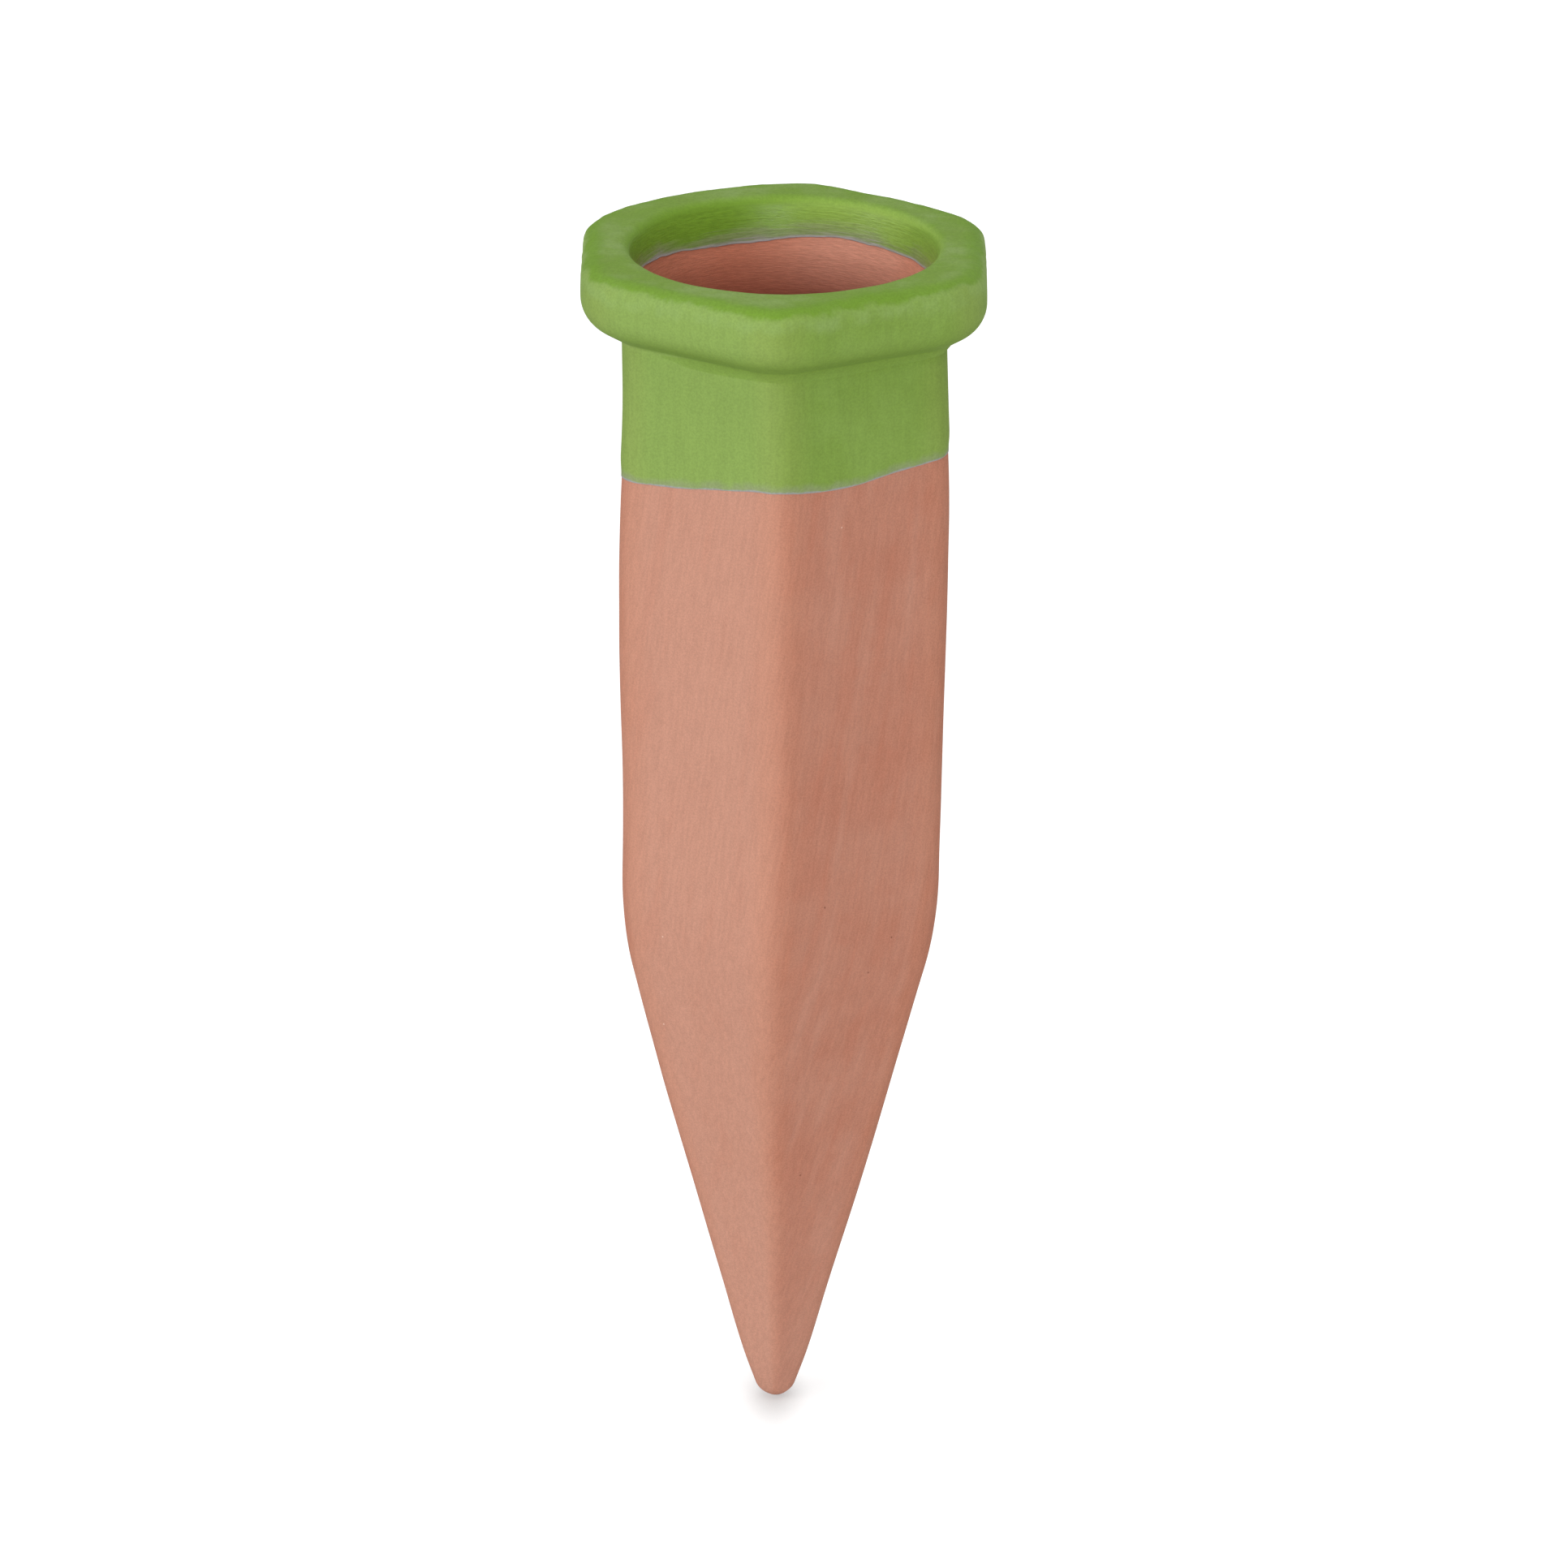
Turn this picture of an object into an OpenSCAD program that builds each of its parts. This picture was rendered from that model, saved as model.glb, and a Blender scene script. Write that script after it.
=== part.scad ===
// Self-watering plant spike of fired clay. A thick-walled hollow spike with six flats,
// a heavy collar round its open mouth and a blunt tip, dipped mouth-down in green slip.
// The tip is at the origin, the mouth is up, one long edge faces -Y and two flats face +X and -X.

/* [Whole spike] */
// Height from the tip to the rim, coat included
height = 95; // [88:0.5:115]

/* [Body] */
// Across the flats of the bare clay, right under the collar
neck_af = 23.7; // [22.5:0.1:24.6]
// Across the flats where the straight part is fullest
full_af = 24.4; // [23:0.1:26]
// Height of that fullest place above the tip
full_h = 70; // [60:0.5:76]
// Across the flats at the shoulder, where the taper starts
shoulder_af = 24; // [22.5:0.1:25.5]
// Height of the shoulder above the tip
shoulder_h = 42.5; // [36:0.5:50]
// Radius that rounds the shoulder over
shoulder_r = 36; // [15:1:50]
// Radius on the six long edges of the straight part
edge_r = 2.4; // [1.2:0.1:4]
// Radius on those edges where they run out at the tip
tip_edge_r = 1.1; // [0.6:0.1:1.5]
// How far each tapered flat swells out half way along
taper_swell = 0.15; // [0:0.05:0.4]
// Radius of the blunt tip
tip_r = 1.7; // [1.2:0.1:2.4]

/* [Collar] */
// Across the flats of the collar, coat included
collar_af = 30; // [28:0.1:32]
// Height of the collar, from the neck to the rim, coat included
collar_h = 5.8; // [5.6:0.1:9]
// Radius on the six upright edges of the collar, bare clay
collar_edge_r = 7; // [4:0.1:8.5]
// Slope of its underside next to the neck, in degrees from level
underside_slope = 30; // [25:1:45]
// Radius that turns the underside up into the side
underside_r = 2.2; // [1.5:0.1:3.8]
// Radius in the corner between body and collar
neck_r = 0.6; // [0.3:0.05:1]
// Radius on the outer edge of the rim
rim_edge_r = 1.2; // [0.4:0.05:1.5]

/* [Bore] */
// Radius of the mouth just inside the rounded lip, bare clay
mouth_r = 11.6; // [10.6:0.1:11.8]
// Radius of the rounded lip
lip_r = 0.6; // [0.3:0.05:1]
// How deep the mouth flares below the lip before it meets the throat
flare_h = 9.5; // [7:0.5:14]
// Radius of the throat, which holds the water
throat_r = 9.6; // [8.6:0.1:10]
// Thickness of the wall on the tapered flats
taper_wall = 2.6; // [2:0.1:4]
// Radius of the rounded bottom of the well
well_end_r = 1.6; // [1:0.1:3]

/* [Green coat] */
// Thickness of the dried slip
coat_t = 0.15; // [0.1:0.05:0.3]
// How far the outside was dipped, from the rim, on average
dip_depth = 15.8; // [11:0.1:20]
// How much higher and lower the edge runs on opposite sides
dip_tilt = 1.35; // [0:0.05:2]
// Direction in which the outer edge is highest, in degrees from +X
dip_turn = -45; // [-180:5:180]
// How far the slip rose inside the mouth, from the rim, on average
inner_dip_depth = 3.2; // [2:0.1:5]
// How much higher and lower the inner edge runs on opposite sides
inner_dip_tilt = 0.2; // [0:0.05:0.5]
// Direction in which the inner edge is highest, in degrees from +X
inner_dip_turn = 60; // [-180:5:180]
// How far both edges wave up and down
dip_wave = 0.12; // [0:0.02:0.3]
// Waves of each edge in one turn
dip_waves = 5; // [2:1:9]

/* [Hidden] */

CLAY = [0.77, 0.53, 0.44];
GREEN = [0.50, 0.65, 0.31];

flats = 6;
turn = 360 / flats;
half_turn = turn / 2;
corner_steps = 6;
tip_steps = 4;
taper_steps = 8;
shoulder_steps = 6;
body_steps = 5;
neck_steps = 3;
underside_steps = 6;
rim_steps = 4;
flare_steps = 8;
lip_steps = 4;
well_steps = 5;
dip_steps = 60;

// How far every cut runs past what it cuts
over = 1;

// Half the tip's small flat end, as a share of the tip's radius
tip_flat_share = 0.3;
// The most that a rounding takes of the section or wall that it lies in
round_share = 0.9;

// A rounding of a corner that turns by an angle, no larger than its wall leaves room for
function rounding(r, angle, room) = min(r, round_share * room / tan(angle / 2));

clay_top = height - coat_t;
neck_z = height - collar_h;
neck_half = neck_af / 2;
full_half = full_af / 2;
shoulder_half = shoulder_af / 2;
collar_half = collar_af / 2 - coat_t;

// The taper is a line from the shoulder to the round of the tip, which it touches
tip_reach = sqrt(pow(shoulder_half, 2) + pow(shoulder_h - tip_r, 2));
taper_angle = atan(shoulder_half / (shoulder_h - tip_r)) - asin(tip_r / tip_reach);
tip_end = [tip_r * cos(taper_angle), tip_r * (1 - sin(taper_angle))];
shoulder_run = shoulder_r * tan(taper_angle / 2);
taper_top = [shoulder_half - shoulder_run * sin(taper_angle), shoulder_h - shoulder_run * cos(taper_angle)];
straight_z = shoulder_h + shoulder_run;

// The rim's flat top, with a rounding on either side of it
rim_width = collar_half - mouth_r;
lip_round = rounding(lip_r, 90, rim_width / 2);
rim_round = rounding(rim_edge_r, 90, rim_width / 2);
rim_mid = [collar_half - rim_round, clay_top - rim_round];

// Underside of the collar: it leaves the neck on a slope and turns up on an arc
overhang = collar_half - neck_half;
slope_run = overhang / cos(underside_slope);
side_foot = neck_z + overhang * tan(underside_slope);
neck_turn = 90 - underside_slope;
neck_round = rounding(neck_r, neck_turn, slope_run / 2);
neck_run = neck_round * tan(neck_turn / 2);
neck_mid = [neck_half + neck_round, neck_z - neck_run];
underside_round = rounding(underside_r, neck_turn, min(slope_run - neck_run, rim_mid.y - side_foot));
underside_mid = [collar_half - underside_round, side_foot + underside_round * tan(neck_turn / 2)];

// Bore: flare, throat, a cone that keeps the wall even, and a round bottom
flare_top = clay_top - lip_round;
flare_end = flare_top - flare_h;
taper_grade = tan(taper_angle);
wall_run = taper_wall / cos(taper_angle);
throat_end = shoulder_h - (shoulder_half - wall_run - throat_r) / taper_grade;
well_mid = shoulder_h - (shoulder_half - wall_run - well_end_r / cos(taper_angle)) / taper_grade;

// The coat's outer skin reaches down outside this radius and its inner skin inside it
dip_z = height - dip_depth;
inner_dip_z = height - inner_dip_depth;
split_r = (neck_half + bore_r(inner_dip_z)) / 2;
zone_r = collar_af;

function ease(share) = (1 - cos(180 * share)) / 2;
function mix(low, high, share) = low + (high - low) * share;

// Half the width across the flats of the straight part at a height
function body_half(z) = z < full_h
    ? mix(shoulder_half, full_half, ease((z - straight_z) / (full_h - straight_z)))
    : mix(full_half, neck_half, ease((z - full_h) / (neck_mid.y - full_h)));

function bore_r(z) = mix(throat_r, mouth_r, ease((z - flare_end) / flare_h));

// Rings from here on are [half width, edge radius, height]
function taper_edge_r(z) = mix(tip_edge_r, edge_r, z / shoulder_h);
function taper_ring(half, z) = [half, min(taper_edge_r(z), half * round_share), z];
function collar_ring(half, z) = [half, mix(edge_r, collar_edge_r, (half - neck_half) / overhang), z];

tip_rings = concat(
    [taper_ring(tip_r * tip_flat_share, 0)],
    [for (i = [1:tip_steps])
        let (a = mix(90, taper_angle, i / tip_steps))
        taper_ring(tip_r * cos(a), tip_r * (1 - sin(a)))]
);

taper_rings = [for (i = [1:taper_steps])
    let (
        share = i / taper_steps,
        half = mix(tip_end.x, taper_top.x, share) + 4 * taper_swell * share * (1 - share)
    )
    taper_ring(half, mix(tip_end.y, taper_top.y, share))
];

shoulder_rings = [for (i = [1:shoulder_steps])
    let (
        a = taper_angle * (1 - i / shoulder_steps),
        half = shoulder_half - shoulder_r * (1 - cos(a)),
        z = straight_z - shoulder_r * sin(a)
    )
    [half, edge_r, z]
];

lower_body_rings = [for (i = [1:body_steps])
    let (z = mix(straight_z, full_h, i / body_steps))
    [body_half(z), edge_r, z]
];

// The upper body and collar, grown outwards by the coat that lies on them
function upper_body_rings(grow) = [for (i = [1:body_steps])
    let (z = mix(full_h, neck_mid.y, i / body_steps))
    [body_half(z) + grow, edge_r + grow, z]
];

function arc_rings(mid, r, from, to, steps) = [for (i = [0:steps])
    let (a = mix(from, to, i / steps))
    collar_ring(mid.x + r * cos(a), mid.y + r * sin(a))
];

function collar_rings(grow) = concat(
    [for (i = [1:neck_steps])
        let (a = 180 - neck_turn * i / neck_steps)
        collar_ring(neck_mid.x + (neck_round - grow) * cos(a), neck_mid.y + (neck_round - grow) * sin(a))],
    arc_rings(underside_mid, underside_round + grow, -neck_turn, 0, underside_steps),
    arc_rings(rim_mid, rim_round + grow, 0, 90, rim_steps)
);

clay_rings = concat(
    tip_rings, taper_rings, shoulder_rings, lower_body_rings, upper_body_rings(0), collar_rings(0)
);
coat_rings = concat(
    [[full_half + coat_t, edge_r + coat_t, full_h]], upper_body_rings(coat_t), collar_rings(coat_t)
);

// One section: a hexagon with rounded corners
function section(ring) = [for (c = [0:flats - 1], i = [0:corner_steps])
    let (
        corner = half_turn + turn * c,
        a = corner - half_turn + turn * i / corner_steps,
        reach = (ring[0] - ring[1]) / cos(half_turn)
    )
    [reach * cos(corner) + ring[1] * cos(a), reach * sin(corner) + ring[1] * sin(a), ring[2]]
];

module loft(rings) {
    sections = [for (ring = rings) section(ring)];
    n = len(sections[0]);
    top = (len(rings) - 1) * n;
    polyhedron(
        points = [for (s = sections) each s],
        faces = concat(
            [[for (i = [0:n - 1]) i]],
            [[for (i = [0:n - 1]) top + n - 1 - i]],
            [for (k = [0:len(rings) - 2], i = [0:n - 1])
                let (j = (i + 1) % n)
                [k * n + i, (k + 1) * n + i, (k + 1) * n + j, k * n + j]]
        )
    );
}

// The hollow, narrowed at the mouth by the coat that lies in it
module hollow(coat) {
    rotate_extrude($fn = 96)
        polygon(concat(
            [[0, well_mid - well_end_r]],
            [for (i = [1:well_steps])
                let (a = mix(-90, -taper_angle, i / well_steps))
                [well_end_r * cos(a), well_mid + well_end_r * sin(a)]],
            [[throat_r, throat_end]],
            [for (i = [0:flare_steps])
                let (z = mix(flare_end, flare_top, i / flare_steps))
                [bore_r(z) - coat, z]],
            [for (i = [1:lip_steps])
                let (a = 180 - 90 * i / lip_steps)
                [mouth_r + lip_round + (lip_round + coat) * cos(a), flare_top + (lip_round + coat) * sin(a)]],
            [[mouth_r + lip_round, height + over], [0, height + over]]
        ));
}

// All that lies above the wavy edges where the slip stopped
function wave(a, z, tilt, high) = z + tilt * cos(a - high) + dip_wave * sin(dip_waves * a);

module dipped_zone() {
    n = dip_steps;
    angles = [for (i = [0:n - 1]) 360 * i / n];
    outer = [for (a = angles) wave(a, dip_z, dip_tilt, dip_turn)];
    inner = [for (a = angles) wave(a, inner_dip_z, inner_dip_tilt, inner_dip_turn)];
    polyhedron(
        points = concat(
            [for (i = [0:n - 1]) [zone_r * cos(angles[i]), zone_r * sin(angles[i]), height + over]],
            [for (i = [0:n - 1]) [zone_r * cos(angles[i]), zone_r * sin(angles[i]), outer[i]]],
            [for (i = [0:n - 1]) [split_r * cos(angles[i]), split_r * sin(angles[i]), outer[i]]],
            [for (i = [0:n - 1]) [split_r * cos(angles[i]), split_r * sin(angles[i]), inner[i]]],
            [[0, 0, inner_dip_z]]
        ),
        faces = concat(
            [[for (i = [0:n - 1]) n - 1 - i]],
            [for (k = [0:2], i = [0:n - 1])
                let (j = (i + 1) % n, above = k * n, below = above + n)
                each [[above + i, above + j, below + j], [above + i, below + j, below + i]]],
            [for (i = [0:n - 1]) [3 * n + i, 3 * n + (i + 1) % n, 4 * n]]
        )
    );
}

module fired_clay() {
    difference() {
        loft(clay_rings);
        hollow(0);
    }
}

module clay_body() {
    color(CLAY) fired_clay();
}

module green_coat() {
    color(GREEN)
        difference() {
            intersection() {
                loft(coat_rings);
                dipped_zone();
            }
            fired_clay();
            hollow(coat_t);
        }
}

clay_body();
green_coat();
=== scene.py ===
"""A hand-cut clay watering spike, dipped mouth-down in green slip.

The clay and the slip are two closed meshes. Both are sampled from one surface: a profile that
runs from the tip over the rim to the bottom of the well, laid round a hexagon whose edges are
rounded, with the small unevenness of handwork on top. Lengths are in millimetres until a mesh
is made.
"""
import math
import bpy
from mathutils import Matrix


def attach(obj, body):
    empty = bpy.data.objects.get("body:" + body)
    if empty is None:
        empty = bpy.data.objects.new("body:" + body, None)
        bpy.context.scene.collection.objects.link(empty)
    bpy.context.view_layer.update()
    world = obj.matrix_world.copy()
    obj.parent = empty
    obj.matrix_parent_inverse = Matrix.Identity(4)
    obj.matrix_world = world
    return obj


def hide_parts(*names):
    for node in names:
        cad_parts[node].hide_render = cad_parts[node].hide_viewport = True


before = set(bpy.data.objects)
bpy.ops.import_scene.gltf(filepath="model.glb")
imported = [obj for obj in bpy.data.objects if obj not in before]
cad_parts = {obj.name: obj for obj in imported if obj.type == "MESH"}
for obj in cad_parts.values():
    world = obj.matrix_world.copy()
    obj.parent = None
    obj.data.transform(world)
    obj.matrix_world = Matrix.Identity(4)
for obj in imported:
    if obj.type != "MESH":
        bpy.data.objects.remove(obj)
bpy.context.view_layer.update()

from types import SimpleNamespace

import bpy
import numpy as np
from mathutils import Quaternion, Vector

MM = 0.001

# Whole spike
HEIGHT = 95.0
COAT_T = 0.15
CLAY_TOP = HEIGHT - COAT_T

# Body, half widths across the flats
NECK_HALF = 11.85
FULL_HALF = 12.2
FULL_Z = 70.0
SHOULDER_HALF = 12.0
SHOULDER_Z = 42.5
SHOULDER_R = 36.0
EDGE_R = 2.4
TIP_EDGE_R = 1.1
ROUNDEST_EDGE = 0.9  # most that an edge's radius may be, as a share of the half width
TAPER_SWELL = 0.15
TIP_R = 1.7
LEAST_HALF = 0.02  # half width of the profile's first row, at the point of the tip

# Collar
COLLAR_HALF = 14.85
COLLAR_H = 5.8
COLLAR_EDGE_R = 7.0
UNDERSIDE_SLOPE = math.radians(30)
UNDERSIDE_R = 2.2
NECK_R = 0.6
RIM_EDGE_R = 1.2

# Bore
MOUTH_R = 11.6
LIP_R = 0.6
FLARE_H = 9.5
FLARE_POWER = 1.3
THROAT_R = 9.6
TAPER_WALL = 2.6
WELL_END_R = 1.6
WELL_END_GAP = 0.02  # angle left open at the bottom of the well, in radians

# Steps along each part of the profile
TIP_STEPS = 12
TAPER_STEPS = 60
SHOULDER_STEPS = 20
BODY_STEPS = 90
NECK_STEPS = 8
UNDERSIDE_STEPS = 20
RIM_STEPS = 14
LIP_STEPS = 12
FLARE_STEPS = 40
WELL_STEPS = 10

# Where the slip stopped: azimuth in degrees from +X, height above the tip
OUTER_DIP = [
    (-180, 78.4), (-148, 78.7), (-129, 79.0), (-119, 79.3), (-108, 79.6), (-99, 79.9),
    (-90, 80.0), (-82, 79.86), (-72, 79.7), (-62, 79.78), (-46, 80.25), (-32, 80.56),
    (0, 80.9), (40, 80.5), (80, 79.9), (120, 79.1), (160, 78.5),
]
INNER_DIP = [
    (-180, 92.0), (-120, 91.7), (-60, 91.7), (0, 91.9), (31, 91.92), (53, 91.97), (67, 92.04),
    (76, 91.95), (88, 91.85), (98, 91.55), (112, 91.5), (123, 91.58), (136, 91.7), (153, 91.94),
]

# How far the front edge wanders sideways: height, distance towards +X
FRONT_EDGE_DRIFT = [
    (0, 0.0), (6, 0.0), (12, -0.12), (18, -0.15), (24, -0.4), (30, -0.58), (38, -0.64), (46, -0.5),
    (56, -0.33), (64, -0.3), (74, -0.25), (84, -0.36), (88, -0.4), (91, -0.7), (95, -0.6),
]
# And the other edges: height, distance sideways
BACK_EDGE_DRIFT = [(0, 0.0), (14, 0.2), (30, 0.45), (46, 0.2), (66, -0.15), (84, 0.1), (95, 0.0)]
SIDE_EDGE_DRIFT = [(0, 0.0), (16, 0.1), (34, -0.12), (52, 0.1), (74, -0.08), (95, 0.0)]
# The whole spike bends by this much: height, distance towards +X
LEAN = [
    (0, -0.2), (11, -0.2), (20, -0.14), (32, -0.17), (39, -0.1), (45, 0.0), (52, 0.1),
    (65, 0.08), (72, 0.13), (78, 0.2), (84, 0.19), (89, 0.08), (95, 0.0),
]
# And is fuller than its plain form by this much: height, distance on every side
FULLNESS = [
    (0, -0.16), (1.4, -0.08), (3.5, 0.06), (10, 0.08), (18, 0.1), (32, 0.02), (45, 0.05), (58, 0.06),
    (65, 0.07), (72, 0.07), (78, 0.09), (84, 0.03), (88, 0.04), (95, 0.0),
]
# The tip has a slanting cut on its left, which rises by this share of the distance from the axis
TIP_CUT_SLOPE = 0.48
# The rim was trimmed by hand: azimuth in degrees from +X, distance out from the plain form
RIM_TRIM = [
    (-180, 0.05), (-150, -0.15), (-120, 0.0), (-104, 0.0), (-90, 0.05), (-76, 0.0), (-62, 0.0),
    (-32, -0.2), (0, 0.12), (17, 0.08), (30, -0.42), (38, -0.6), (46, -0.3), (54, 0.0),
    (66, 0.1), (75, 0.22), (82, 0.08), (91, -0.4), (104, -0.04), (112, 0.28), (122, 0.36),
    (134, 0.06), (147, -0.4), (154, -0.3), (164, 0.0),
]
# The collar's front edge is the sharpest: azimuth, distance out from the plain form
COLLAR_TRIM = [
    (-180, 0.0), (-150, 0.05), (-120, 0.0), (-104, 0.0), (-97, 0.1), (-90, 0.27), (-83, 0.1),
    (-76, 0.0), (-30, 0.0), (90, -0.1), (150, 0.0),
]
# The collar's underside is higher on the left, by this share of the distance from the axis
UNDERSIDE_TILT_SHARE = 0.012
# Direction of the light from the left: light and a whitish sheen are painted on the side of the spike
# that faces it
PAINTED_LIGHT_TOWARDS = (-0.92, -0.39)


# ---------------------------------------------------------------- small helpers

def mix(low, high, share):
    return low + (high - low) * share


def ease(share):
    """Goes smoothly from 0 to 1 as the share does, and stays there outside that range."""
    return (1 - np.cos(np.pi * np.clip(share, 0, 1))) / 2


def rise(value, start, width):
    """0 up to the start and 1 from this width beyond it."""
    return ease((value - start) / width)


def in_degrees(azimuth):
    """Azimuths as degrees from -180 to 180, as the lists above give them."""
    return (np.degrees(azimuth) + 180) % 360 - 180


def through(places, at, period=None):
    """A smooth curve through (place, value) pairs, read at an array of places."""
    x = np.array([p[0] for p in places], float)
    y = np.array([p[1] for p in places], float)
    if period:
        x = np.concatenate([x[-2:] - period, x, x[:3] + period])
        y = np.concatenate([y[-2:], y, y[:3]])
    slope = np.gradient(y, x)
    at = np.clip(at, x[0], x[-1])
    i = np.clip(np.searchsorted(x, at, side="right") - 1, 0, len(x) - 2)
    w = x[i + 1] - x[i]
    t = (at - x[i]) / w
    return (
        y[i] * (1 + 2 * t) * (1 - t) ** 2 + slope[i] * w * t * (1 - t) ** 2
        + y[i + 1] * t * t * (3 - 2 * t) - slope[i + 1] * w * t * t * (1 - t)
    )


def lattice(ix, iy, iz, seed):
    """An even spread of values from -1 to 1: one for each whole-numbered place, by hashing it."""
    h = (ix * 73856093) ^ (iy * 19349663) ^ (iz * 83492791) ^ (seed * 2654435761)
    h = (h ^ (h >> 13)) * 1274126177 & 0xFFFFFFFF
    h = (h ^ (h >> 16)) & 0xFFFF
    return h / 32767.5 - 1


def unevenness(points, size, seed):
    """Smooth noise from -1 to 1 with features of this size, at an array of points."""
    p = points / size
    cell = np.floor(p).astype(np.int64)
    f = p - cell
    f = f * f * (3 - 2 * f)
    total = 0
    for dx in (0, 1):
        for dy in (0, 1):
            for dz in (0, 1):
                weight = (
                    (f[..., 0] if dx else 1 - f[..., 0])
                    * (f[..., 1] if dy else 1 - f[..., 1])
                    * (f[..., 2] if dz else 1 - f[..., 2])
                )
                total = total + weight * lattice(
                    cell[..., 0] + dx, cell[..., 1] + dy, cell[..., 2] + dz, seed
                )
    return total


def waves(points, depth, size, seed):
    """Unevenness that reaches this far to either side."""
    return depth * unevenness(points, size, seed)


# ---------------------------------------------------------------- the profile

# The taper's side leaves the ball of the tip and would meet the body's side at the shoulder
TAPER_ANGLE = math.atan(SHOULDER_HALF / (SHOULDER_Z - TIP_R)) - math.asin(
    TIP_R / math.hypot(SHOULDER_HALF, SHOULDER_Z - TIP_R)
)
# The shoulder's rounding takes up this length on either side of that corner
SHOULDER_RUN = SHOULDER_R * math.tan(TAPER_ANGLE / 2)
STRAIGHT_Z = SHOULDER_Z + SHOULDER_RUN


def arc(mid, r, start, end, steps):
    """Points on an arc, from one angle to another, both in radians."""
    angles = [mix(start, end, i / steps) for i in range(steps + 1)]
    return [(mid[0] + r * math.cos(a), mid[1] + r * math.sin(a)) for a in angles]


def tip_and_taper():
    """Half width and height, from the point of the tip to where the body's sides begin."""
    spots = []
    for i in range(TIP_STEPS + 1):
        a = mix(math.pi / 2, TAPER_ANGLE, i / TIP_STEPS)
        spots.append((max(TIP_R * math.cos(a), LEAST_HALF), TIP_R * (1 - math.sin(a))))
    low = spots[-1]
    high = (
        SHOULDER_HALF - SHOULDER_RUN * math.sin(TAPER_ANGLE),
        SHOULDER_Z - SHOULDER_RUN * math.cos(TAPER_ANGLE),
    )
    for i in range(1, TAPER_STEPS + 1):
        t = i / TAPER_STEPS
        swell = 4 * TAPER_SWELL * t * (1 - t)
        spots.append((mix(low[0], high[0], t) + swell, mix(low[1], high[1], t)))
    for i in range(1, SHOULDER_STEPS + 1):
        a = TAPER_ANGLE * (1 - i / SHOULDER_STEPS)
        half = SHOULDER_HALF - SHOULDER_R * (1 - math.cos(a))
        spots.append((half, STRAIGHT_Z - SHOULDER_R * math.sin(a)))
    return spots


def taper_edge_r(half, z):
    """The six edges are sharper towards the tip."""
    return min(mix(TIP_EDGE_R, EDGE_R, min(z / SHOULDER_Z, 1)), half * ROUNDEST_EDGE)


def body_half(z, top):
    """The body's half width, which is largest at FULL_Z. The body ends at this top."""
    lower = mix(SHOULDER_HALF, FULL_HALF, ease((z - STRAIGHT_Z) / (FULL_Z - STRAIGHT_Z)))
    upper = mix(FULL_HALF, NECK_HALF, ease((z - FULL_Z) / (top - FULL_Z)))
    return lower if z < FULL_Z else upper


def outer_profile():
    """Half width, edge radius and height, from the tip to the end of the rim's outer rounding."""
    neck_turn = math.pi / 2 - UNDERSIDE_SLOPE
    overhang = COLLAR_HALF - NECK_HALF
    neck_z = HEIGHT - COLLAR_H
    side_foot = neck_z + overhang * math.tan(UNDERSIDE_SLOPE)
    neck_mid = (NECK_HALF + NECK_R, neck_z - NECK_R * math.tan(neck_turn / 2))
    underside_mid = (COLLAR_HALF - UNDERSIDE_R, side_foot + UNDERSIDE_R * math.tan(neck_turn / 2))
    rim_mid = (COLLAR_HALF - RIM_EDGE_R, CLAY_TOP - RIM_EDGE_R)

    spots = [(half, taper_edge_r(half, z), z) for half, z in tip_and_taper()]
    for i in range(1, BODY_STEPS + 1):
        z = mix(STRAIGHT_Z, neck_mid[1], i / BODY_STEPS)
        spots.append((body_half(z, neck_mid[1]), EDGE_R, z))
    turns = arc(neck_mid, NECK_R, math.pi, math.pi - neck_turn, NECK_STEPS)[1:]
    turns += arc(underside_mid, UNDERSIDE_R, -neck_turn, 0, UNDERSIDE_STEPS)
    turns += arc(rim_mid, RIM_EDGE_R, 0, math.pi / 2, RIM_STEPS)
    for half, z in turns:
        spots.append((half, mix(EDGE_R, COLLAR_EDGE_R, (half - NECK_HALF) / overhang), z))
    return spots


def inner_profile():
    """The same from the lip to the bottom of the well. There the edge radius is the half width."""
    flare_top = CLAY_TOP - LIP_R
    flare_end = flare_top - FLARE_H
    grade = math.tan(TAPER_ANGLE)
    inside = SHOULDER_HALF - TAPER_WALL / math.cos(TAPER_ANGLE)
    throat_end = SHOULDER_Z - (inside - THROAT_R) / grade
    well_mid = SHOULDER_Z - (inside - WELL_END_R / math.cos(TAPER_ANGLE)) / grade
    lip_foot = math.atan(FLARE_POWER * (MOUTH_R - THROAT_R) / FLARE_H)
    well_foot = -math.pi / 2 + WELL_END_GAP

    spots = arc((MOUTH_R + LIP_R, flare_top), LIP_R, math.pi / 2, math.pi - lip_foot, LIP_STEPS)
    lip_r, lip_z = spots[-1]
    for i in range(1, FLARE_STEPS + 1):
        t = 1 - i / FLARE_STEPS
        spots.append((mix(THROAT_R, lip_r, t ** FLARE_POWER), mix(flare_end, lip_z, t)))
    spots += [(THROAT_R, throat_end)]
    spots += arc((0, well_mid), WELL_END_R, -TAPER_ANGLE, well_foot, WELL_STEPS)
    return [(r, r, z) for r, z in spots]


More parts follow.
